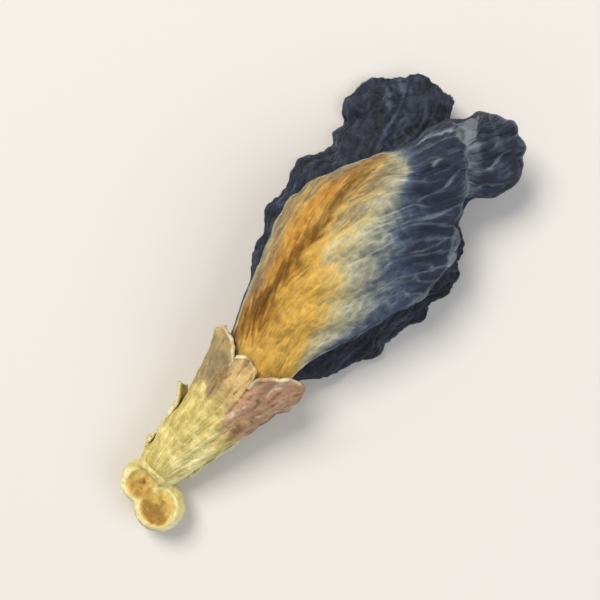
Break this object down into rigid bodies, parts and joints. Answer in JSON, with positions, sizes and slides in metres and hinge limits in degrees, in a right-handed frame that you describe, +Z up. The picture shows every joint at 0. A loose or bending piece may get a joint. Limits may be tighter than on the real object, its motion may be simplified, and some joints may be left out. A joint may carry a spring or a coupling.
{
  "type": "dried butterfly pea flower",
  "caption": "Dried pea-type flower lying on its underside: knobbed receptacle, lobed calyx and one large folded petal over two wing petals, a keel, stamens and a pistil.",
  "frame": {"origin": "centre of the flower's bounding box in plan, at the level of the surface that it lies on", "axes": "+X along the flower from the knob at its base to the tip of the large petal, +Y towards the side of the larger wing petal, +Z up from the surface that it lies on"},
  "size_m": [0.0386, 0.0156, 0.0088],
  "materials": {
    "receptacle": "matt dried stalk tissue, straw-coloured with golden hollows",
    "bracteoles": "matt dried leaf scale, straw-coloured",
    "calyx": "matt dried leaf tissue, pale yellow-green with brown lobe tips",
    "standard": "satin dried petal, yellow heart that turns to slate blue and indigo at the margin",
    "wings": "satin dried petal, deep indigo",
    "keel": "matt dried petal, pale cream",
    "stamens": "matt dried filaments and anthers, pale straw",
    "pistil": "matt dried ovary and style, pale green-brown"
  },
  "bodies": {
    "root": {"receptacle": "receptacle", "bracteole_left": "bracteoles", "bracteole_right": "bracteoles", "calyx": "calyx", "standard_petal": "standard", "wing_left": "wings", "wing_right": "wings", "keel": "keel", "stamens": "stamens", "pistil": "pistil"}
  },
  "joints": []
}
